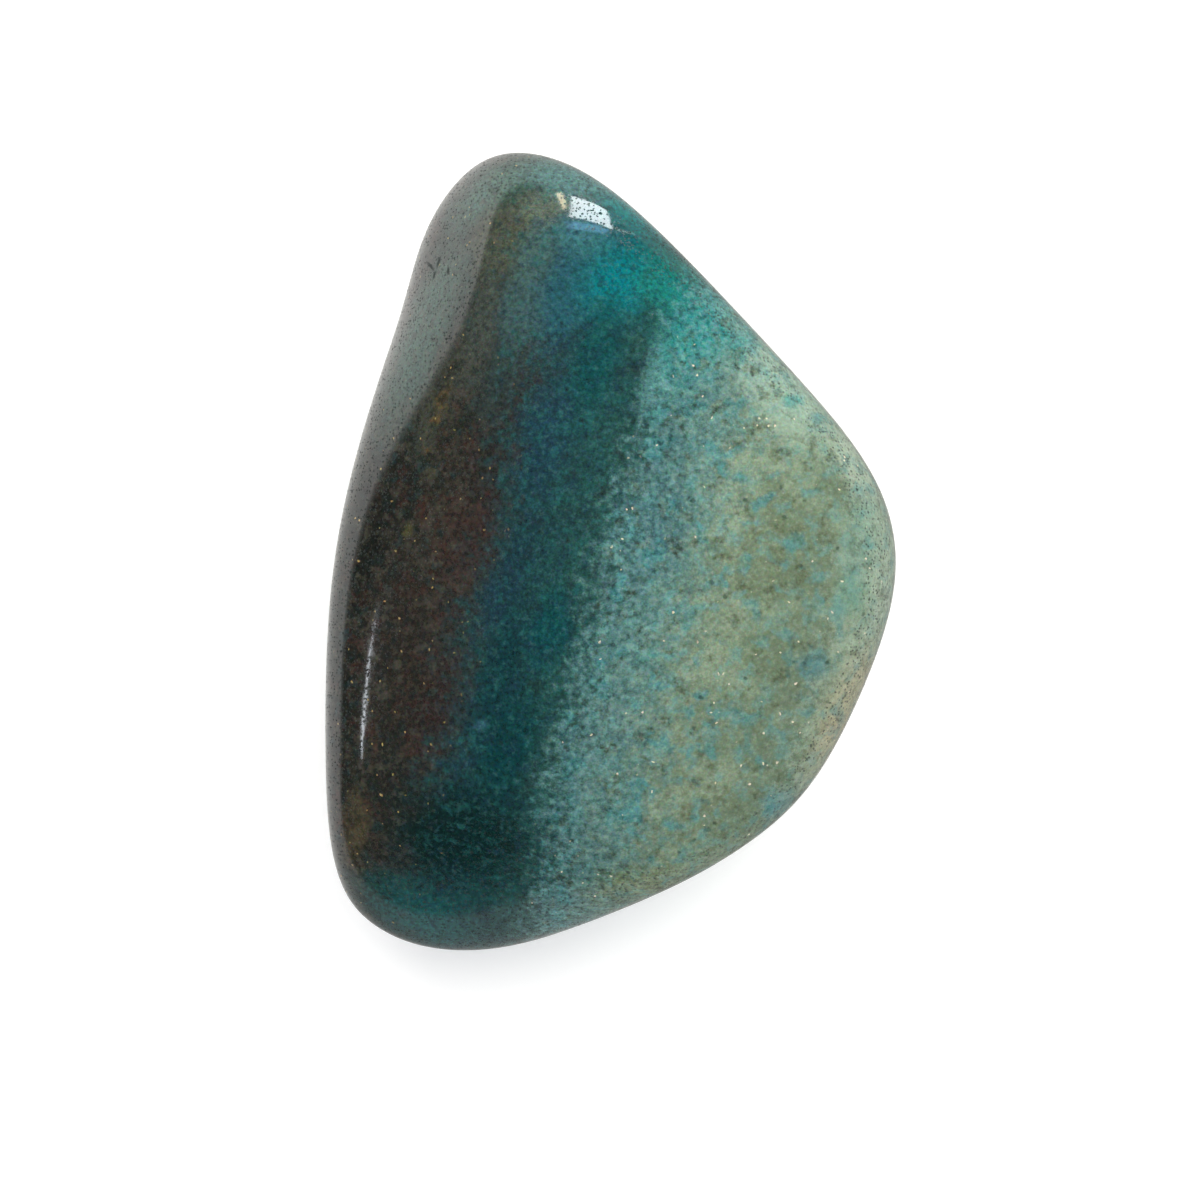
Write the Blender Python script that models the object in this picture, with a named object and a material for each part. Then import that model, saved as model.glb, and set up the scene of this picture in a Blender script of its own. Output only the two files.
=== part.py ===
"""A tumbled and polished trolleite stone: one solid lying on a small flat spot.

X runs to the stone's right, Y up to its narrow tip and Z up from the surface that it
lies on. The origin is on that surface, under the middle of the stone. Metres.
"""

import math

import bmesh
import bpy
from mathutils import Vector

MM = 0.001

# The faces that wear has ground on the stone. Each looks along an azimuth and an
# elevation, in degrees, and lies at a distance from the stone's core, in millimetres.
WORN_FACES = {
    "right flank, upper": (43, -4, 10.75),
    "right flank, corner": (12, -4, 11.8),
    "right flank, lower": (338, -6, 10.95),
    "foot flank, right": (302, -8, 11.3),
    "foot": (277, 6, 13.8),
    "foot corner": (248, 12, 18.15),
    "left flank, foot": (214, 2, 16.1),
    "left flank, lower": (181, -8, 9.9),
    "left flank, middle": (166, -20, 9.2),
    "left flank, upper": (150, -4, 12.2),
    "left flank, sloping": (158, 28, 9.7),
    "tip": (112, 4, 17.9),
    "tip, right": (79, 6, 16.2),
    "shoulder, upper": (40, 42, 11.3),
    "shoulder, right": (5, 42, 11.7),
    "shoulder, lower": (328, 40, 11.5),
    "shoulder, left": (175, 53, 7.5),
    "front, to the tip": (82, 54, 11.4),
    "front, upper": (58, 72, 8.3),
    "front, left": (186, 62, 7.0),
    "front, foot": (252, 50, 9.8),
    "front, lower": (300, 72, 7.8),
    "front, right": (20, 80, 7.5),
    "underside, right": (15, -42, 9.3),
    "underside, tip": (80, -40, 12.4),
    "underside, tip, inner": (110, -62, 9.6),
    "underside, left": (168, -38, 9.1),
    "underside, foot corner": (235, -42, 12.6),
    "underside, foot": (270, -64, 9.2),
    "underside, lower right": (315, -46, 9.4),
    "underside, right, inner": (20, -72, 8.1),
    "underside, left, inner": (190, -70, 8.2),
    "underside, lowest": (0, -90, 7.9),
}
# How sharply one worn face turns into the next.
TURN_SHARPNESS = 15

# A shallow dip and swells of the skin. Each has a height in millimetres, below zero for
# a dip, then its middle's azimuth and elevation and its spread, all in degrees.
DIPS_AND_SWELLS = {
    "dip in the right flank": (-0.2, 322, -4, 14),
    "swell beside the tip": (0.45, 114, 2, 8),
    "swell at the foot corner": (0.3, 244, 4, 9),
}

# How far below the core the flat spot lies, and the height over which the rounded
# underside eases into it.
REST_DEPTH = 7.45 * MM
REST_EASE = 0.4 * MM

# Facets along each side of the cube that is rounded into the stone.
FACETS_PER_SIDE = 24

# Polished green-blue stone.
STONE_COLOUR = (0.045, 0.135, 0.125, 1.0)
STONE_ROUGHNESS = 0.14
STONE_METALLIC = 0.0


def clear_scene():
    for thing in list(bpy.data.objects):
        bpy.data.objects.remove(thing, do_unlink=True)


def direction(azimuth, elevation):
    """The unit vector that looks along an azimuth and an elevation in degrees."""
    turn, rise = math.radians(azimuth), math.radians(elevation)
    level = math.cos(rise)
    return Vector((level * math.cos(turn), level * math.sin(turn), math.sin(rise)))


def swell_height(way):
    """How far the dips and swells move the skin out along way, in metres."""
    total = 0.0
    for height, azimuth, elevation, spread in DIPS_AND_SWELLS.values():
        angle = way.angle(direction(azimuth, elevation))
        total += height * MM * math.exp(-((angle / math.radians(spread)) ** 2))
    return total


def skin_distance(way, faces):
    """The distance from the core to the stone's skin along way, in metres.

    It is the distance to the nearest worn face, blended so that the faces turn
    softly into each other.
    """
    blend = sum(max(0.0, way.dot(normal) / distance) ** TURN_SHARPNESS
                for normal, distance in faces)
    return blend ** (-1.0 / TURN_SHARPNESS) + swell_height(way)


def ease_to_rest(height):
    """A skin point's height over the flat spot, which cuts the underside level."""
    if height <= 0.0:
        return 0.0
    if height < REST_EASE:
        return height ** 2 / (2.0 * REST_EASE)
    return height - REST_EASE / 2.0


def round_cube_point(corner_point):
    """The direction of a point on a cube of side 2, spread evenly over the sphere."""
    return Vector([math.tan(c * math.pi / 4.0) for c in corner_point]).normalized()


def shape_stone(mesh_data):
    """Moves the points of a finely cut cube out to the stone's skin."""
    faces = [(direction(azimuth, elevation), distance * MM)
             for azimuth, elevation, distance in WORN_FACES.values()]
    for vert in mesh_data.verts:
        way = round_cube_point(vert.co)
        point = way * skin_distance(way, faces)
        point.z = ease_to_rest(point.z + REST_DEPTH)
        vert.co = point


def centre_over_origin(mesh_data):
    """Slides the stone level until its box is centred on the origin."""
    for axis in (0, 1):
        places = [vert.co[axis] for vert in mesh_data.verts]
        middle = (min(places) + max(places)) / 2.0
        for vert in mesh_data.verts:
            vert.co[axis] -= middle


def stone_material():
    material = bpy.data.materials.new("polished_trolleite")
    material.use_nodes = True
    surface = material.node_tree.nodes["Principled BSDF"]
    surface.inputs["Base Color"].default_value = STONE_COLOUR
    surface.inputs["Roughness"].default_value = STONE_ROUGHNESS
    surface.inputs["Metallic"].default_value = STONE_METALLIC
    material.diffuse_color = STONE_COLOUR
    return material


def make_stone(collection):
    """The whole stone as one closed solid."""
    mesh_data = bmesh.new()
    bmesh.ops.create_cube(mesh_data, size=2.0)
    bmesh.ops.subdivide_edges(mesh_data, edges=mesh_data.edges[:],
                              cuts=FACETS_PER_SIDE - 1, use_grid_fill=True)
    shape_stone(mesh_data)
    centre_over_origin(mesh_data)
    bmesh.ops.triangulate(mesh_data, faces=mesh_data.faces[:])
    mesh = bpy.data.meshes.new("trolleite_stone")
    mesh_data.to_mesh(mesh)
    mesh_data.free()
    mesh.materials.append(stone_material())
    mesh.shade_smooth()
    stone = bpy.data.objects.new("trolleite_stone", mesh)
    collection.objects.link(stone)


def main():
    clear_scene()
    collection = bpy.data.collections.new("tumbled_trolleite_stone")
    bpy.context.scene.collection.children.link(collection)
    make_stone(collection)


main()
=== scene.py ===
"""The looks of a tumbled and polished trolleite stone. Metres, +Z up.

The stone lies on a pale surface and is seen from straight above, lit by a window
beyond its narrow tip.
"""

import math

import bmesh
import bpy
import numpy as np
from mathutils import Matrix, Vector, noise


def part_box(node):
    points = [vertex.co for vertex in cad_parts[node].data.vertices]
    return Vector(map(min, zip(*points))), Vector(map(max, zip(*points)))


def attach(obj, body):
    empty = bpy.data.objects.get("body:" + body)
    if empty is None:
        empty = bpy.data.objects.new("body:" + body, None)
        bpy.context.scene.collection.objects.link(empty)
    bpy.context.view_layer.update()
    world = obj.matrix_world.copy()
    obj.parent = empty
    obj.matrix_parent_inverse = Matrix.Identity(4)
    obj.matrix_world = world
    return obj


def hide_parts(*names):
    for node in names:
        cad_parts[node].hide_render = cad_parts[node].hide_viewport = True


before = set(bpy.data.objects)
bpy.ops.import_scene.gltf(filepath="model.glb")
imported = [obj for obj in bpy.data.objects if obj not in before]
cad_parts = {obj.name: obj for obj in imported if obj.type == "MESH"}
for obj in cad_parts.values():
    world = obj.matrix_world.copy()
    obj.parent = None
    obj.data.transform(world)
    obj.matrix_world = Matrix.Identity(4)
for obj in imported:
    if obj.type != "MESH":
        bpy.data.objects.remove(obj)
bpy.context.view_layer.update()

MM = 0.001

# The faces that wear has ground on the stone. Each looks along an azimuth and an
# elevation, in degrees, and lies at a distance from the stone's core, in millimetres.
WORN_FACES = {
    "right flank, upper": (43, -4, 10.75),
    "right flank, corner": (12, -4, 11.8),
    "right flank, lower": (338, -6, 10.95),
    "foot flank, right": (302, -8, 11.3),
    "foot": (277, 6, 13.8),
    "foot corner": (248, 12, 18.15),
    "left flank, foot": (214, 2, 16.1),
    "left flank, lower": (181, -8, 9.9),
    "left flank, middle": (166, -20, 9.2),
    "left flank, upper": (150, -4, 12.2),
    "left flank, sloping": (158, 28, 9.7),
    "tip": (112, 4, 17.9),
    "tip, right": (79, 6, 16.2),
    "shoulder, upper": (40, 42, 11.3),
    "shoulder, right": (5, 42, 11.7),
    "shoulder, lower": (328, 40, 11.5),
    "shoulder, left": (175, 53, 7.5),
    "front, to the tip": (82, 54, 11.4),
    "front, upper": (58, 72, 8.3),
    "front, left": (186, 62, 7.0),
    "front, foot": (252, 50, 9.8),
    "front, lower": (300, 72, 7.8),
    "front, right": (20, 80, 7.5),
    "underside, right": (15, -42, 9.3),
    "underside, tip": (80, -40, 12.4),
    "underside, tip, inner": (110, -62, 9.6),
    "underside, left": (168, -38, 9.1),
    "underside, foot corner": (235, -42, 12.6),
    "underside, foot": (270, -64, 9.2),
    "underside, lower right": (315, -46, 9.4),
    "underside, right, inner": (20, -72, 8.1),
    "underside, left, inner": (190, -70, 8.2),
    "underside, lowest": (0, -90, 7.9),
}
# How sharply one worn face turns into the next.
TURN_SHARPNESS = 15

# A shallow dip and swells of the skin. Each has a height in millimetres, below zero for
# a dip, then its middle's azimuth and elevation and its spread, all in degrees.
DIPS_AND_SWELLS = {
    "dip in the right flank": (-0.2, 322, -4, 14),
    "swell beside the tip": (0.45, 114, 2, 8),
    "swell at the foot corner": (0.3, 244, 4, 9),
}

# How far below the core the flat spot lies, and the height over which the rounded
# underside eases into it.
REST_DEPTH = 7.45 * MM
REST_EASE = 0.4 * MM

# Tumbling leaves the skin very slightly uneven: the height of its ripples and the size
# of each, in millimetres.
RIPPLES = ((0.003, 2.4), (0.0015, 1.1))

FACETS_PER_SIDE = 112

# The camera: a long lens in millimetres, the photograph's middle and the middle of the
# stone in its pixels, the size of a pixel at the stone's widest height, and that height,
# around which the lights and panes stand too.
LENS, SENSOR = 300.0, 36.0
FRAME_MIDDLE_PX = (600, 600)
STONE_MIDDLE_PX = (610, 552.5)
PIXEL = 0.037736 * MM
WIDEST_HEIGHT = 7.2 * MM

TABLE_SIDE = 2.0
TABLE_GAP = 0.03 * MM
# The board glows a little of its own, so that it is as white as a photographer's sweep.
TABLE_GLOW = 0.2
MATTE_ROUGHNESS = 0.9

# The room that the gloss mirrors: its brightness from straight below to straight above.
# Below the horizon it is a pale table. The room's gain grows towards its bright side, from
# FAR_SIDE_GAIN where a way leans to it by the first of BRIGHT_SIDE_LEANS or less, to
# BRIGHT_SIDE_GAIN at the second.
ROOM_WALLS = (
    (0.0, "#f4f4f0"),
    (0.49, "#ffffff"),
    (0.512, "#a0a2a0"),
    (0.54, "#26282a"),
    (0.75, "#121315"),
    (1.0, "#0a0b0c"),
)
BRIGHT_SIDE = (150, -20)
BRIGHT_SIDE_LEANS = (0.1, 0.95)
BRIGHT_SIDE_GAIN, FAR_SIDE_GAIN = 1.5, 0.45

# Large soft lights. Each has its azimuth and elevation in degrees, its distance and the
# length of its sides in metres, its power in watts and its colour.
SOFT_LIGHTS = {
    "soft_key": (75, 62, 0.8, 1.1, 14.0, "#fffcf8"),
    "soft_fill": (250, 50, 0.9, 1.2, 7.0, "#f2f6ff"),
}

# Bright panes in that room, far from the stone. Each has the ways that its corners lie
# in, as azimuth and elevation, then its colour and brightness.
PANE_DISTANCE = 0.6
PANES = {
    "window": (((76.6, 3.0), (67.6, -5.0), (68.8, 13.3), (77.8, 18.5)), "#f4faff", 13.0),
    "sky_under_the_window": (((77.5, 20.8), (69.4, 15.3), (71.0, 20.5), (77.7, 24.5)),
                             "#8fc4ff", 4.0),
    "lamp_beside_the_window": (((80.6, 5.5), (78.9, 2.9), (78.4, 13.5), (79.3, 15.7)),
                               "#ffe9c0", 11.0),
    "gap_in_the_curtain": (((67.2, 10.1), (61.2, -2.7), (61.6, -1.7), (67.4, 11.6)),
                           "#ffffff", 8.0),
    "door_slit": (((178.6, 20.1), (181.0, 20.6), (184.2, 21.7), (186.4, 22.7),
                   (184.0, 22.2), (180.8, 21.0)), "#eef6ff", 19.0),
}


def direction(azimuth, elevation):
    """The unit vector that looks along an azimuth and an elevation in degrees."""
    turn, rise = math.radians(azimuth), math.radians(elevation)
    level = math.cos(rise)
    return np.array((level * math.cos(turn), level * math.sin(turn), math.sin(rise)))


def skin_points(ways):
    """The points of the stone's skin along unit vectors from its core, in metres."""
    blend = np.zeros(len(ways))
    for azimuth, elevation, distance in WORN_FACES.values():
        facing = ways @ direction(azimuth, elevation)
        blend += np.maximum(0.0, facing / (distance * MM)) ** TURN_SHARPNESS
    reach = blend ** (-1.0 / TURN_SHARPNESS)
    for height, azimuth, elevation, spread in DIPS_AND_SWELLS.values():
        angle = np.arccos(np.clip(ways @ direction(azimuth, elevation), -1.0, 1.0))
        reach += height * MM * np.exp(-((angle / math.radians(spread)) ** 2))
    for height, size in RIPPLES:
        reach += height * MM * np.array([noise.noise(Vector(way) * reach_now / (size * MM))
                                         for way, reach_now in zip(ways, reach)])
    points = ways * reach[:, None]
    points[:, 2] = ease_to_rest(points[:, 2] + REST_DEPTH)
    return points


def ease_to_rest(heights):
    """Heights over the flat spot, which cuts the underside level."""
    eased = np.clip(heights, 0.0, REST_EASE) ** 2 / (2.0 * REST_EASE)
    return eased + np.maximum(0.0, heights - REST_EASE)


def cut_cube(facets):
    """A cube of side 2 with its sides cut into a fine grid."""
    cube = bmesh.new()
    bmesh.ops.create_cube(cube, size=2.0)
    bmesh.ops.subdivide_edges(cube, edges=cube.edges[:], cuts=facets - 1, use_grid_fill=True)
    return cube


def round_to_ways(cube_points):
    """Unit vectors for points on the cube, spread evenly over the sphere."""
    ways = np.tan(cube_points * math.pi / 4.0)
    return ways / np.linalg.norm(ways, axis=1)[:, None]


def stone_mesh():
    """The stone's skin as one closed mesh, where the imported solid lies."""
    cube = cut_cube(FACETS_PER_SIDE)
    mesh = bpy.data.meshes.new("polished_stone")
    cube.to_mesh(mesh)
    cube.free()
    places = np.zeros(len(mesh.vertices) * 3)
    mesh.vertices.foreach_get("co", places)
    points = skin_points(round_to_ways(places.reshape(-1, 3)))
    low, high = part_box("trolleite_stone")
    for axis in (0, 1):
        middle = (points[:, axis].min() + points[:, axis].max()) / 2.0
        points[:, axis] += (low[axis] + high[axis]) / 2.0 - middle
    mesh.vertices.foreach_set("co", points.ravel())
    mesh.update()
    mesh.shade_smooth()
    return mesh, points


def linear(colour):
    """An sRGB hex colour as the linear colour that a shader reads."""
    shares = [int(colour[i:i + 2], 16) / 255.0 for i in (1, 3, 5)]
    return tuple(c / 12.92 if c <= 0.04045 else ((c + 0.055) / 1.055) ** 2.4
                 for c in shares) + (1.0,)


def add(tree, kind, inputs=None, out=0, stops=None, **settings):
    """Adds one node with its settings and links, and returns one of its outputs."""
    made = tree.nodes.new(kind)
    for name, value in settings.items():
        setattr(made, name, value)
    for socket, value in (inputs or {}).items():
        if isinstance(value, bpy.types.NodeSocket):
            tree.links.new(value, made.inputs[socket])
        else:
            made.inputs[socket].default_value = value
    if stops:
        ramp = made.color_ramp.elements
        while len(ramp) < len(stops):
            ramp.new(0.5)
        for element, (position, colour) in zip(ramp, stops):
            element.position = position
            element.color = linear(colour)
    return made.outputs[out]


# The minerals in the stone, as each looks under the polish.
BLACKISH = "#1e201c"
SMOKY_BROWN = "#201f1b"
DRAB = "#35372f"
UMBER = "#2a2621"
RUST = "#3a2520"
SLATE = "#2b2b2a"
SLATE_TEAL = "#243637"
INDIGO = "#1a333e"
DEEP_TEAL = "#1b393d"
TEAL = "#1e403e"
PINE = "#08201f"
SEA_GREEN = "#166a64"
GREY_TEAL = "#3f615e"
LAGOON = "#2c7276"
MIST = "#5b8a86"
COLD_MIST = "#4a7073"
BROWN_MIST = "#3b3832"
TEAL_MIST = "#1f4f4e"
DRAB_MIST = "#424138"
PALE_MIST = "#7a9b99"
HAZE = "#4e6c66"
SAGE = "#647460"
MOSS = "#5f6f5a"
OLIVE = "#454a34"
CREAM = "#8c9f87"
SAND = "#a09a7c"
INK = "#17211f"
AMBER = "#54452a"
STRAW = "#4c4a2e"
GOLD = "#a8925f"
QUARTZ = "#d9cdb2"

# The stone is banded: its minerals lie in sheets that stand across it. These are the
# direction across the sheets, a place on the front that counts as their middle, and
# the minerals by their distance from it in millimetres.
ACROSS_SHEETS = (0.956, -0.259, 0.14)
SHEETS_MIDDLE = (0.0, 0.0, 13.0)
SHEETS_REACH = 12.0
SHEETS = (
    (-11.0, DRAB),
    (-9.2, BLACKISH),
    (-8.0, SMOKY_BROWN),
    (-7.0, "#2e2d26"),
    (-6.0, UMBER),
    (-5.0, SLATE),
    (-4.0, SLATE_TEAL),
    (-3.0, DEEP_TEAL),
    (-1.0, TEAL),
    (0.1, "#2c4e4a"),
    (1.1, "#3e5f5b"),
    (2.5, "#4c6d66"),
    (4.5, SAGE),
    (6.5, MOSS),
    (8.0, "#60705d"),
    (10.4, "#93a592"),
)

# Crumbs of each sheet have strayed into its neighbours by up to this many millimetres in
# all. On average they lie half of that further along, which the sheets are set back by.
CRUMBS_REACH = 4.4
SET_BACK = CRUMBS_REACH / 2.0

# Where the dark side of the stone changes to the pale one, by distance across the sheets.
# Then parts of the stone by their distance past that change: where each starts to show
# and where it shows in full, in millimetres.
CHANGE_OF_SIDE = -0.15 + SET_BACK
PALE_SIDE = (CHANGE_OF_SIDE - 0.5, CHANGE_OF_SIDE + 0.9)
BESIDE_THE_CHANGE = (CHANGE_OF_SIDE + 5.0, CHANGE_OF_SIDE + 0.5)
BROWN_PART = (CHANGE_OF_SIDE - 2.9, CHANGE_OF_SIDE - 5.9)
# The brown part turns away to the left towards the tip: where along the stone it starts
# to and has done so, and by how much, in millimetres.
BROWN_TURNS = (2.0, 9.0)
BROWN_TURN = 2.4
# The stone grows calmer towards its right rim: where across the sheets it starts to and
# has done so, and how lively it still is there.
CALMS = (3.0, 9.0)
CALM = 0.6

# How the edges of the minerals wander. Each way builds on another one, and has the size
# of its wandering and about how far that reaches, in millimetres, and its fineness.
WANDERINGS = {
    "ragged": ("still", 0.35, 0.14, 3.0),
    "wavy": ("ragged", 1.5, 0.45, 2.0),
    "bent": ("wavy", 4.5, 0.5, 2.0),
}
PIT_WANDERING = (0.08, 0.03, 0.0)

# The mottles that crumbs and clouds follow. Each has how its edges wander, the size of
# its soft spots in millimetres and its fineness.
MOTTLES = {
    "crumbs": ("still", 0.40, 3.0),
    "broad": ("ragged", 0.90, 3.0),
    "middling": ("ragged", 0.55, 3.0),
    "fine": ("still", 0.24, 2.0),
    "misty": ("wavy", 0.58, 2.0),
    "creamy": ("bent", 1.70, 2.0),
    "lagoon": ("wavy", 1.15, 2.0),
}
MOTTLE_ROUGHNESS = 0.62

# Soft clouds of mineral, the lowest first. Each has its mottle, the values of that mottle
# at which it starts to show and shows in full, how much of the stone it hides there, the
# part of the stone or the earlier cloud that it lies in, and its mineral.
CLOUDS_UNDER_THE_PLACES = {
    "blackish clouds": ("broad", 0.48, 0.36, 0.65, "brown part", BLACKISH),
    "rust clouds": ("broad", 0.50, 0.64, 0.65, "brown part", RUST),
    "brown mist": ("misty", 0.50, 0.66, 0.70, "brown part", BROWN_MIST),
    "slate teal clouds": ("misty", 0.46, 0.33, 0.60, "brown part", SLATE_TEAL),
    "smoke in the teal": ("broad", 0.52, 0.66, 0.40, "teal part", SMOKY_BROWN),
}
CLOUDS_OVER_THE_PLACES = {
    "cream": ("creamy", 0.45, 0.64, 0.40, "away from the change", CREAM),
    "mist": ("misty", 0.48, 0.66, 0.55, "pale side", MIST),
    "olive": ("middling", 0.50, 0.68, 0.60, "pale side", OLIVE),
    "lagoons": ("lagoon", 0.52, 0.68, 0.45, "pale side", LAGOON),
    "cold mist": ("misty", 0.54, 0.40, 0.50, "beside the change", COLD_MIST),
    "small blackish clouds": ("middling", 0.52, 0.66, 0.60, "brown part", BLACKISH),
    "drab mist": ("middling", 0.46, 0.34, 0.50, "brown part", DRAB_MIST),
    "teal mist": ("middling", 0.50, 0.68, 0.55, "teal part", TEAL_MIST),
    "indigo": ("middling", 0.47, 0.34, 0.55, "teal part", INDIGO),
    "cream crumbs": ("fine", 0.50, 0.36, 0.25, "away from the change", CREAM),
    "pale crumbs": ("fine", 0.50, 0.36, 0.22, "beside the change", PALE_MIST),
    "ink in the olive": ("fine", 0.50, 0.64, 0.55, "olive", INK),
    "ink beside the change": ("fine", 0.53, 0.66, 0.50, "beside the change", INK),
    "ink in the teal": ("fine", 0.50, 0.64, 0.34, "teal part", INK),
    "ink in the brown": ("fine", 0.50, 0.64, 0.50, "brown part", INK),
    "grey crumbs in the teal": ("fine", 0.46, 0.32, 0.22, "teal part", GREY_TEAL),
    "drab crumbs in the brown": ("fine", 0.46, 0.32, 0.30, "brown part", DRAB_MIST),
}
QUARTZ_CLUSTERS = {
    "quartz": ("middling", 0.44, 0.54, 1.0, "pale sparks", QUARTZ),
}

# Specks, each in a cell of its own. Each kind has the width of its cells and the radius
# at which a speck has faded out, in millimetres, the limit that a cell's random shade,
# from 0 to 1, lies below where the cell holds a speck, and how much of the stone it
# hides. The real pits and sparks are finer still than the render can show.
DARK_SPOTS = (0.60, 0.13, 0.30, 0.55)
SPARKS = (0.38, 0.060, 0.45, 0.80)
PITS = (0.12, 0.060, 0.55, 1.0)
NICKS = (0.45, 0.09, 0.38, 1.0)
# The share of its radius within which a speck shows in full.
SPECK_CORE = 0.35

# Grains that are each a little lighter or darker, of which the middle ones are also a
# little off in hue. Each has its size in millimetres, how strongly it shows, and the
# output of its noise. The dark side shows them more.
GRAINS = (
    (0.16, 0.50, 0),
    (0.09, 0.40, "Color"),
    (0.05, 0.35, 0),
)
GRIT_OF_DARK_SIDE = 1.2

# The polish: faint waves in it, by their size and height in millimetres, its roughness
# outside pits and in them, how dark a pit's own shade is, and the bending of light in
# quartz that is full of trolleite.
WAVE_SIZE, WAVE_HEIGHT = 0.45, 0.0015
POLISHED_ROUGHNESS, PIT_ROUGHNESS = 0.06, 0.7
PIT_SHADE = 0.75
STONE_IOR = 1.58
# Pits, with their painted shade, show on the steep skin, where the gloss mirrors the
# bright room and they look dark against it: the upward lean of the skin where they start
# to show and where they show in full, and how much they show on top.
STEEP_SKIN = (0.87, 0.79)
PITS_ON_TOP = 0.05

# Short scratches on the left flank. Each has its middle, its half length and its half
# width in millimetres, and the way that it points in degrees from the right.
SCRATCHES = {
    "long one": (-6.43, 10.86, 0.36, 0.08, 73),
    "one that leans the other way": (-6.72, 10.72, 0.32, 0.08, 126),
    "one below": (-6.58, 10.38, 0.28, 0.07, 72),
    "one on its own": (-6.06, 10.52, 0.24, 0.08, 85),
}

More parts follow.
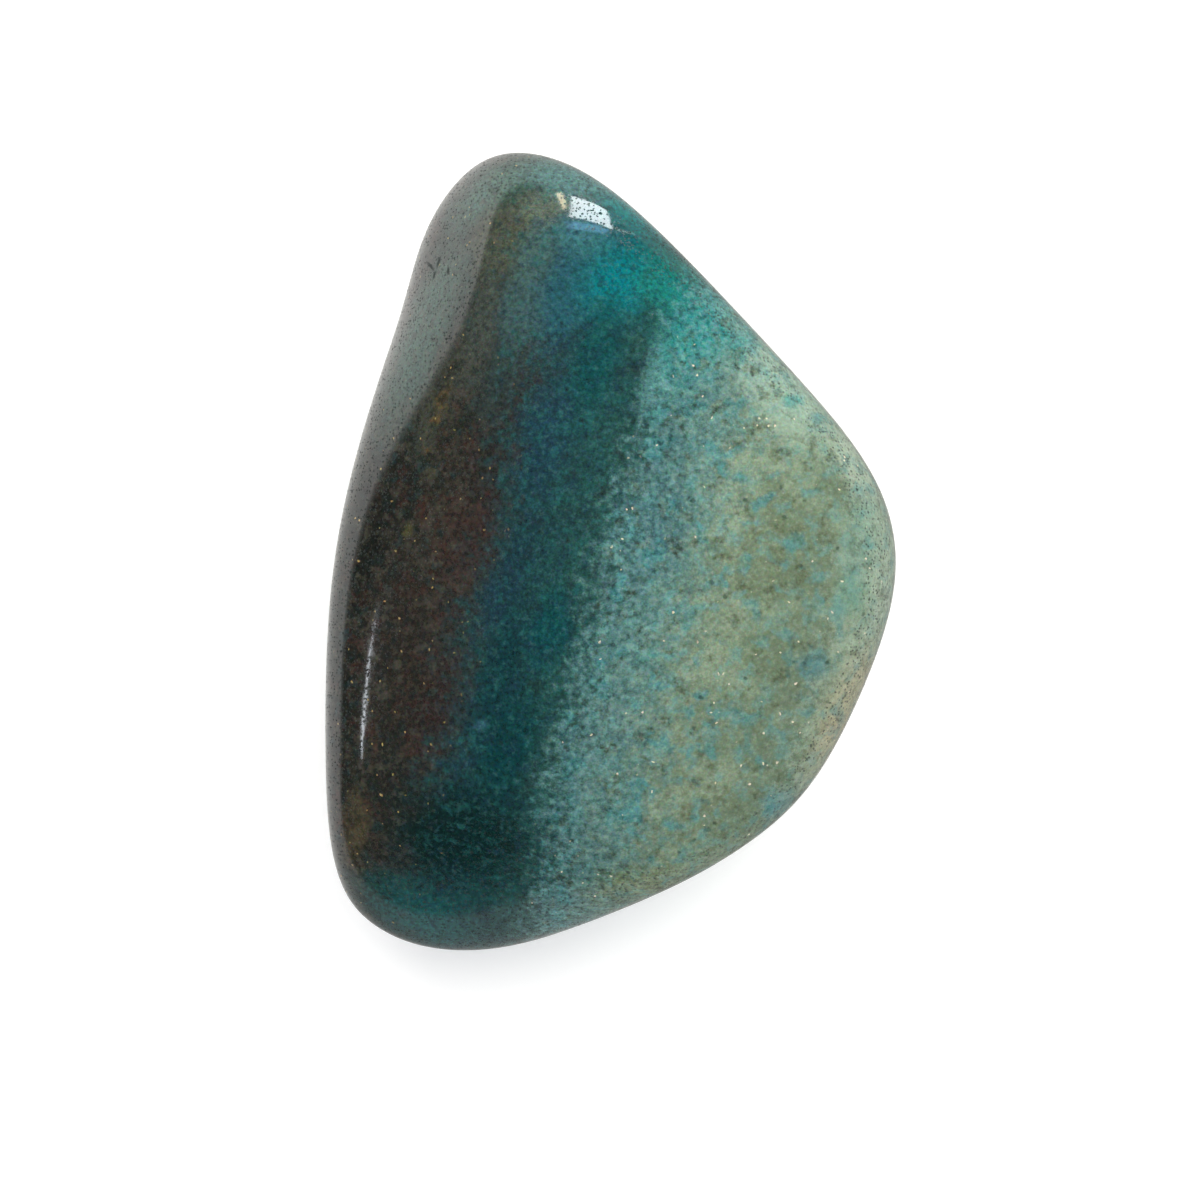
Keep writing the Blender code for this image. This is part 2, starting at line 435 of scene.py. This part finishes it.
# Places in the stone that stand out from its sheets. Each has its middle on the front
# and its half length and half width in millimetres, the way that its length points in
# degrees from the right, its mineral, and how much of the stone it hides. They all reach
# PLACE_DEPTH into the stone and out of it, and fade from the second to the first of these
# shares of their half sizes.
PLACE_DEPTH = 3.0
PLACE_FADE = (1.15, 0.25)
PLACES = {
    "grey neck": (-3.3, 9.2, 3.2, 1.1, 75, "#37504f", 0.85),
    "slate blue below the tip": (-1.7, 9.9, 3.2, 1.3, 75, "#1f4c56", 0.85),
    "haze below the tip": (-2.7, 11.5, 1.7, 1.0, 60, "#3e5855", 0.85),
    "teal below the window": (-0.9, 12.0, 1.6, 1.3, 20, "#35666b", 0.85),
    "peacock bloom at the tip": (0.3, 10.2, 2.3, 1.7, 60, "#04666c", 0.95),
    "sea green bloom at the tip": (2.2, 10.1, 1.8, 1.5, 0, SEA_GREEN, 0.95),
    "slate teal, upper": (-4.2, 6.2, 2.2, 1.0, 72, "#2a3837", 0.7),
    "slate blue, middle": (-2.5, 4.2, 3.0, 1.1, 75, "#1a3b47", 0.6),
    "deep teal beside the change": (-0.5, 7.2, 3.0, 1.1, 75, "#0d4041", 0.88),
    "pale step beside the change": (1.75, 6.6, 2.1, 0.75, 80, "#4d7976", 0.85),
    "sea grey tip rim": (-4.2, 13.7, 3.2, 1.2, 35, "#3f5f55", 0.85),
    "drab corner of the tip": (-4.2, 11.6, 2.6, 1.2, 75, "#454a3d", 0.85),
    # Partly the stone's own grey drab, partly a painted soft highlight beside the window's
    # reflection.
    "lighter drab corner of the tip, with painted soft highlight": (-2.5, 12.9, 1.4, 1.0, 30, "#5a6658", 0.8),
    "drab band below the tip": (-4.9, 8.4, 3.6, 0.9, 75, "#414841", 0.8),
    "grey green left flank": (-7.0, 8.2, 5.0, 1.3, 68, "#38564c", 0.85),
    "drab beside the flank": (-6.5, 5.4, 2.8, 0.8, 70, "#3a3d33", 0.8),
    "black edge of the flank": (-9.1, 0.6, 3.2, 0.8, 83, "#161714", 0.8),
    "rust cloud, middle": (-5.4, 0.5, 2.5, 1.5, 75, "#34221f", 0.5),
    "umber cloud": (-8.0, -4.0, 5.2, 1.6, 84, "#25201c", 0.7),
    "rust cloud, foot": (-6.4, -5.6, 2.4, 1.1, 72, "#2b1f1d", 0.7),
    "indigo streak": (-4.0, -1.4, 2.6, 0.8, 68, INDIGO, 0.7),
    "deep shade": (-4.2, -4.6, 3.4, 1.1, 72, "#0c2c31", 0.8),
    "peacock shade": (-2.2, -2.9, 2.0, 1.1, 70, "#083c40", 0.85),
    "pine shade": (-3.8, -7.4, 3.4, 1.4, 70, "#073033", 0.85),
    "pine foot": (-5.9, -10.6, 4.0, 3.0, 5, PINE, 0.92),
    "teal foot rim": (-7.5, -13.5, 3.2, 1.5, -25, "#1b4c4b", 0.9),
    "tan foot rim": (-9.6, -10.5, 2.2, 0.5, 92, "#4a4230", 0.7),
    "peacock rim beside the window": (0.6, 13.0, 2.8, 1.1, -45, "#0b6b6b", 0.9),
    "hazy teal rim above the window": (-1.4, 13.9, 2.2, 1.1, -20, "#4a7370", 0.9),
    "smoky foot": (-8.3, -8.4, 2.2, 0.8, 80, "#1b201e", 0.7),
    "cream shoulder": (6.6, 6.0, 3.8, 1.9, -50, "#8aa494", 0.8),
    "lagoon below the tip": (3.4, 8.2, 3.0, 1.8, 60, "#247c78", 0.9),
    "lagoon spot, upper": (4.9, 7.6, 0.8, 0.5, 70, "#2f8280", 0.8),
    "lagoon spot, small": (3.5, 8.7, 0.4, 0.3, 20, "#1f6665", 0.8),
    "lagoon spot, middle": (2.8, 5.3, 1.0, 0.7, 10, "#2a6160", 0.8),
    "lagoon spot, rim": (6.8, 5.6, 0.45, 0.4, 0, "#3a8886", 0.8),
    "haze, middle": (1.6, 1.2, 3.2, 1.5, 75, "#35585a", 0.8),
    "olive ground": (6.0, -0.8, 4.6, 3.0, 80, "#59644a", 0.28),
    "blue spot, right": (7.4, -4.2, 0.8, 0.7, 0, "#3d6e74", 0.65),
    "cream right rim": (9.2, 3.2, 2.4, 0.9, 110, "#9aab98", 0.75),
    "mint on the right rim": (9.4, 0.6, 2.6, 1.0, 85, "#66877a", 0.6),
    "teal at the right rim": (9.0, -1.6, 1.0, 0.7, 60, "#4b7a6d", 0.7),
    "sand on the right rim": (8.9, -6.0, 3.3, 1.4, 66, SAND, 0.9),
    "sage at the foot rim": (0.6, -12.4, 2.2, 0.8, 15, "#66704f", 0.7),
    "blue spot, foot rim": (6.3, -9.3, 0.8, 0.6, 30, "#4f7c80", 0.7),
    "haze, foot": (-0.2, -7.4, 3.0, 1.1, 70, HAZE, 0.6),
    "olive foot": (3.4, -9.2, 2.4, 1.3, 30, "#5f6a55", 0.5),
    "freckles beside the change": (0.0, -1.4, 0.7, 0.4, 60, "#26332f", 0.8),
    "amber stain": (-6.2, 5.6, 0.65, 0.36, 78, AMBER, 0.6),
    "amber spot, upper": (-6.4, 4.9, 0.25, 0.2, 0, AMBER, 0.8),
    "amber spot, lower": (-6.8, 3.9, 0.25, 0.2, 60, AMBER, 0.7),
    "straw spot": (-6.75, 2.9, 0.28, 0.2, 30, STRAW, 0.8),
    "straw spot, lower": (-7.4, 0.85, 0.32, 0.22, 60, STRAW, 0.8),
    "hazy blue spot": (-4.7, -6.3, 0.36, 0.36, 0, "#2f5560", 0.9),
}


def wander(tree, place, size, reach, fineness):
    """Moves places about at random, by up to about reach millimetres."""
    shift = add(tree, "ShaderNodeTexNoise", {"Vector": place, "Scale": 1.0 / size,
                "Detail": fineness}, out="Color")
    shift = add(tree, "ShaderNodeVectorMath", {0: shift, 1: (0.5, 0.5, 0.5)},
                operation="SUBTRACT")
    shift = add(tree, "ShaderNodeVectorMath", {0: shift, "Scale": 2.0 * reach},
                operation="SCALE")
    return add(tree, "ShaderNodeVectorMath", {0: place, 1: shift}, operation="ADD")


def specks(tree, place, spacing, radius, limit, cover):
    """Small round specks in some of the cells around a place, as a mask up to cover."""
    near = add(tree, "ShaderNodeTexVoronoi", {"Vector": place, "Scale": 1.0 / spacing})
    chosen = add(tree, "ShaderNodeMath", {0: near.node.outputs["Color"], 1: limit},
                 operation="LESS_THAN")
    mask = add(tree, "ShaderNodeMapRange", {0: near, 1: radius / spacing,
               2: SPECK_CORE * radius / spacing, 4: cover}, interpolation_type="SMOOTHSTEP")
    return add(tree, "ShaderNodeMath", {0: mask, 1: chosen}, operation="MULTIPLY")


def patch(tree, place, middle, half, turn, cover):
    """One soft oval patch around a place on the stone, as a mask up to cover."""
    inside = add(tree, "ShaderNodeMapping", {"Vector": place, "Location": middle,
                 "Rotation": (0.0, 0.0, math.radians(turn)),
                 "Scale": (half[0], half[1], PLACE_DEPTH)}, vector_type="TEXTURE")
    away = add(tree, "ShaderNodeVectorMath", {0: inside}, out="Value", operation="LENGTH")
    return add(tree, "ShaderNodeMapRange", {0: away, 1: PLACE_FADE[0], 2: PLACE_FADE[1],
               4: cover}, interpolation_type="SMOOTHSTEP")


def skin_height(points, x, y):
    """The height of the stone's front over x and y, all in millimetres."""
    front = points[points[:, 2] > WIDEST_HEIGHT] / MM
    nearest = np.argmin((front[:, 0] - x) ** 2 + (front[:, 1] - y) ** 2)
    return front[nearest, 2]


def distance_across(tree, place):
    """How far a place lies across the stone's sheets, in millimetres."""
    offset = add(tree, "ShaderNodeVectorMath", {0: place, 1: SHEETS_MIDDLE},
                 operation="SUBTRACT")
    return add(tree, "ShaderNodeVectorMath", {0: offset, 1: ACROSS_SHEETS}, out="Value",
               operation="DOT_PRODUCT")


def sheet_colour(tree, strayed):
    """The mineral of the sheet that a crumb of the stone has strayed from."""
    share = add(tree, "ShaderNodeMapRange", {0: strayed, 1: SET_BACK - SHEETS_REACH,
                2: SET_BACK + SHEETS_REACH})
    stops = [((way + SHEETS_REACH) / (2.0 * SHEETS_REACH), mineral)
             for way, mineral in SHEETS]
    return add(tree, "ShaderNodeValToRGB", {0: share}, stops=stops)


def stone_parts(tree, place, across, strayed):
    """Masks of the parts of the stone, by their names."""
    pale = add(tree, "ShaderNodeMapRange", {0: strayed, 1: PALE_SIDE[0], 2: PALE_SIDE[1]},
               interpolation_type="SMOOTHSTEP")
    dark = add(tree, "ShaderNodeMath", {0: 1.0, 1: pale}, operation="SUBTRACT")
    along = add(tree, "ShaderNodeSeparateXYZ", {0: place}, out="Y")
    turn = add(tree, "ShaderNodeMapRange", {0: along, 1: BROWN_TURNS[0], 2: BROWN_TURNS[1],
               3: 0.0, 4: BROWN_TURN})
    turned = add(tree, "ShaderNodeMath", {0: strayed, 1: turn}, operation="ADD")
    brown = add(tree, "ShaderNodeMapRange", {0: turned, 1: BROWN_PART[0],
                2: BROWN_PART[1]}, interpolation_type="SMOOTHSTEP")
    teal = add(tree, "ShaderNodeMath", {0: dark, 1: brown}, operation="SUBTRACT")
    beside = add(tree, "ShaderNodeMapRange", {0: strayed, 1: BESIDE_THE_CHANGE[0],
                 2: BESIDE_THE_CHANGE[1]}, interpolation_type="SMOOTHSTEP")
    beside = add(tree, "ShaderNodeMath", {0: beside, 1: pale}, operation="MULTIPLY")
    lively = add(tree, "ShaderNodeMapRange", {0: across, 1: CALMS[0], 2: CALMS[1], 3: 1.0,
                 4: CALM})
    lively_pale = add(tree, "ShaderNodeMath", {0: lively, 1: pale}, operation="MULTIPLY")
    away = add(tree, "ShaderNodeMath", {0: lively_pale, 1: beside}, operation="SUBTRACT",
               use_clamp=True)
    grit = add(tree, "ShaderNodeMapRange", {0: pale, 3: GRIT_OF_DARK_SIDE, 4: lively})
    return {"all of the pale side": pale, "pale side": lively_pale, "brown part": brown,
            "teal part": teal, "beside the change": beside, "away from the change": away,
            "grit": grit}


def cloud_layers(tree, mottles, parts, clouds):
    """Each cloud's mask and mineral. The masks become parts of the stone as well."""
    layers = []
    for name, (mottle, starts, full, cover, within, mineral) in clouds.items():
        mask = add(tree, "ShaderNodeMapRange", {0: mottles[mottle], 1: starts, 2: full,
                   4: cover}, interpolation_type="SMOOTHSTEP")
        parts[name] = add(tree, "ShaderNodeMath", {0: mask, 1: parts[within]},
                          operation="MULTIPLY")
        layers.append((parts[name], mineral))
    return layers


def place_layers(tree, place, stone):
    """The mask and mineral of each place that stands out."""
    return [(patch(tree, place, (x, y, skin_height(stone, x, y)), (length, width), turn,
                   cover), mineral)
            for x, y, length, width, turn, mineral, cover in PLACES.values()]


def stone_colour(tree, place, stone):
    """The stone's colour at a place in millimetres."""
    places = {"still": place}
    for name, (start, size, reach, fineness) in WANDERINGS.items():
        places[name] = wander(tree, places[start], size, reach, fineness)
    mottles = {}
    for name, (wandering, size, fineness) in MOTTLES.items():
        mottles[name] = add(tree, "ShaderNodeTexNoise", {"Vector": places[wandering],
                            "Scale": 1.0 / size, "Detail": fineness,
                            "Roughness": MOTTLE_ROUGHNESS})
    across = distance_across(tree, places["bent"])
    strayed = add(tree, "ShaderNodeMath", {0: mottles["crumbs"], 1: CRUMBS_REACH, 2: across},
                  operation="MULTIPLY_ADD")
    parts = stone_parts(tree, place, across, strayed)
    sparks = specks(tree, places["ragged"], *SPARKS)
    parts["pale sparks"] = add(tree, "ShaderNodeMath", {0: sparks,
                               1: parts["all of the pale side"]}, operation="MULTIPLY")
    golden = add(tree, "ShaderNodeMath", {0: sparks, 1: parts["brown part"]},
                 operation="MULTIPLY")

    layers = cloud_layers(tree, mottles, parts, CLOUDS_UNDER_THE_PLACES)
    layers += place_layers(tree, places["wavy"], stone)
    layers += cloud_layers(tree, mottles, parts, CLOUDS_OVER_THE_PLACES)
    layers.append((specks(tree, places["ragged"], *DARK_SPOTS), INK))
    layers += cloud_layers(tree, mottles, parts, QUARTZ_CLUSTERS)
    layers.append((golden, GOLD))
    colour = sheet_colour(tree, strayed)
    for mask, mineral in layers:
        colour = add(tree, "ShaderNodeMix", {0: mask, 6: colour, 7: linear(mineral)}, out=2,
                     data_type="RGBA")
    for size, strength, output in GRAINS:
        grain = add(tree, "ShaderNodeTexNoise", {"Vector": place, "Scale": 1.0 / size,
                    "Detail": 1.0}, out=output)
        strength = add(tree, "ShaderNodeMath", {0: parts["grit"], 1: strength},
                       operation="MULTIPLY")
        colour = add(tree, "ShaderNodeMix", {0: strength, 6: colour, 7: grain}, out=2,
                     data_type="RGBA", blend_type="SOFT_LIGHT")
    return colour


def pit_mask(tree, place, stone):
    """A mask of the skin's tiny matte pits, nicks and scratches."""
    ragged = wander(tree, place, *PIT_WANDERING)
    pits = specks(tree, ragged, *PITS)
    nicks = specks(tree, ragged, *NICKS)
    pits = add(tree, "ShaderNodeMath", {0: pits, 1: nicks}, operation="MAXIMUM")
    for x, y, length, width, turn in SCRATCHES.values():
        scratch = patch(tree, ragged, (x, y, skin_height(stone, x, y)), (length, width),
                        turn, 1.0)
        pits = add(tree, "ShaderNodeMath", {0: pits, 1: scratch}, operation="MAXIMUM")
    # Pits and their painted shade go mostly on steep skin, where the gloss mirrors the
    # bright room.
    upright = add(tree, "ShaderNodeNewGeometry", out="Normal")
    upright = add(tree, "ShaderNodeSeparateXYZ", {0: upright}, out="Z")
    steep_in_bright_gloss = add(tree, "ShaderNodeMapRange", {0: upright, 1: STEEP_SKIN[0], 2: STEEP_SKIN[1],
               3: PITS_ON_TOP, 4: 1.0})
    return add(tree, "ShaderNodeMath", {0: pits, 1: steep_in_bright_gloss}, operation="MULTIPLY")


def stone_material(points):
    """Trolleite in quartz, tumbled with ever finer grit and polished.

    To the eye it has a wet gloss over deep, cloudy colours, with dull pits here and there.
    """
    material = bpy.data.materials.new("tumble_polished_trolleite")
    material.use_nodes = True
    tree = material.node_tree
    surface = tree.nodes["Principled BSDF"]
    metres = add(tree, "ShaderNodeTexCoord", out="Object")
    place = add(tree, "ShaderNodeVectorMath", {0: metres, "Scale": 1.0 / MM},
                operation="SCALE")
    waves = add(tree, "ShaderNodeTexNoise", {"Vector": place, "Scale": 1.0 / WAVE_SIZE,
                "Detail": 1.0})
    skin = add(tree, "ShaderNodeBump", {"Height": waves, "Distance": WAVE_HEIGHT * MM,
               "Strength": 1.0})
    pits = pit_mask(tree, place, points)
    gloss = add(tree, "ShaderNodeMapRange", {0: pits, 3: POLISHED_ROUGHNESS,
                4: PIT_ROUGHNESS})
    # A pit lies in its own shade, so it is darker as well as less glossy.
    shade = add(tree, "ShaderNodeMath", {0: pits, 1: PIT_SHADE}, operation="MULTIPLY")
    colour = add(tree, "ShaderNodeMix", {0: shade, 6: stone_colour(tree, place, points),
                 7: linear(INK)}, out=2, data_type="RGBA")
    tree.links.new(colour, surface.inputs["Base Color"])
    tree.links.new(skin, surface.inputs["Normal"])
    tree.links.new(gloss, surface.inputs["Roughness"])
    surface.inputs["IOR"].default_value = STONE_IOR
    return material


def make_stone():
    """The stone's finer skin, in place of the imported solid."""
    mesh, points = stone_mesh()
    stone = bpy.data.objects.new("polished_stone", mesh)
    bpy.context.scene.collection.objects.link(stone)
    mesh.materials.append(stone_material(points))
    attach(stone, "root")
    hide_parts("trolleite_stone")
    return stone


def make_floor():
    """A wide matte white table top. The stone's gloss mirrors the dim room instead."""
    mesh = bpy.data.meshes.new("table_top")
    table = bmesh.new()
    bmesh.ops.create_grid(table, x_segments=1, y_segments=1, size=TABLE_SIDE / 2.0)
    table.to_mesh(mesh)
    table.free()
    floor = bpy.data.objects.new("table_top", mesh)
    floor.location.z = -TABLE_GAP
    floor.visible_glossy = False
    bpy.context.scene.collection.objects.link(floor)
    material = bpy.data.materials.new("matte_white_board")
    material.use_nodes = True
    surface = material.node_tree.nodes["Principled BSDF"]
    surface.inputs["Base Color"].default_value = linear("#f4f4f2")
    surface.inputs["Roughness"].default_value = MATTE_ROUGHNESS
    surface.inputs["Emission Color"].default_value = linear("#ffffff")
    surface.inputs["Emission Strength"].default_value = TABLE_GLOW
    mesh.materials.append(material)


def make_light(name, azimuth, elevation, distance, size, power, colour):
    """A square light that lights the stone softly without showing in its gloss."""
    data = bpy.data.lights.new(name, "AREA")
    data.shape = "SQUARE"
    data.size = size
    data.energy = power
    data.color = linear(colour)[:3]
    light = bpy.data.objects.new(name, data)
    bpy.context.scene.collection.objects.link(light)
    way = Vector(direction(azimuth, elevation))
    light.location = way * distance + Vector((0.0, 0.0, WIDEST_HEIGHT))
    light.rotation_euler = way.to_track_quat("Z", "Y").to_euler()
    light.visible_glossy = False


def make_pane(name, corners, colour, brightness):
    """A flat glowing pane that the gloss mirrors, by the ways that its corners lie in."""
    mesh = bpy.data.meshes.new(name)
    places = [Vector(direction(*corner)) * PANE_DISTANCE + Vector((0.0, 0.0, WIDEST_HEIGHT))
              for corner in corners]
    mesh.from_pydata(places, [], [tuple(range(len(places)))])
    pane = bpy.data.objects.new(name, mesh)
    bpy.context.scene.collection.objects.link(pane)
    material = bpy.data.materials.new(name)
    material.use_nodes = True
    surface = material.node_tree.nodes["Principled BSDF"]
    surface.inputs["Base Color"].default_value = linear("#000000")
    surface.inputs["Emission Color"].default_value = linear(colour)
    surface.inputs["Emission Strength"].default_value = brightness
    mesh.materials.append(material)
    pane.visible_camera = False


def make_lights():
    """Large soft lights, and the window panes and slits that show in the gloss."""
    for name, settings in SOFT_LIGHTS.items():
        make_light(name, *settings)
    for name, (corners, colour, brightness) in PANES.items():
        make_pane(name, corners, colour, brightness)


def make_room():
    """A dim room: pale below the horizon, dark overhead, and white to the camera."""
    world = bpy.data.worlds.new("room")
    bpy.context.scene.world = world
    world.use_nodes = True
    tree = world.node_tree
    way = add(tree, "ShaderNodeTexCoord", out="Generated")
    rise = add(tree, "ShaderNodeSeparateXYZ", {0: way}, out="Z")
    share = add(tree, "ShaderNodeMapRange", {0: rise, 1: -1.0, 2: 1.0})
    walls = add(tree, "ShaderNodeValToRGB", {0: share}, stops=ROOM_WALLS)
    facing = add(tree, "ShaderNodeVectorMath", {0: way, 1: tuple(direction(*BRIGHT_SIDE))},
                 out="Value", operation="DOT_PRODUCT")
    gain = add(tree, "ShaderNodeMapRange", {0: facing, 1: BRIGHT_SIDE_LEANS[0],
               2: BRIGHT_SIDE_LEANS[1], 3: FAR_SIDE_GAIN, 4: BRIGHT_SIDE_GAIN},
               interpolation_type="SMOOTHSTEP")
    walls = add(tree, "ShaderNodeMix", {0: 1.0, 6: walls, 7: gain}, out=2, data_type="RGBA",
                blend_type="MULTIPLY")
    direct = add(tree, "ShaderNodeLightPath", out="Is Camera Ray")
    seen = add(tree, "ShaderNodeMix", {0: direct, 6: walls, 7: linear("#ffffff")}, out=2,
               data_type="RGBA")
    tree.links.new(seen, tree.nodes["Background"].inputs["Color"])


def make_camera():
    """Looks straight down at the stone from far away, as the photograph does."""
    data = bpy.data.cameras.new("camera")
    data.lens = LENS
    data.sensor_width = SENSOR
    camera = bpy.data.objects.new("camera", data)
    bpy.context.scene.collection.objects.link(camera)
    x = (FRAME_MIDDLE_PX[0] - STONE_MIDDLE_PX[0]) * PIXEL
    y = (STONE_MIDDLE_PX[1] - FRAME_MIDDLE_PX[1]) * PIXEL
    distance = 2.0 * FRAME_MIDDLE_PX[0] * PIXEL / SENSOR * LENS
    camera.location = (x, y, WIDEST_HEIGHT + distance)
    bpy.context.scene.camera = camera


make_stone()
make_floor()
make_room()
make_lights()
make_camera()
bpy.context.scene.view_settings.view_transform = "Standard"
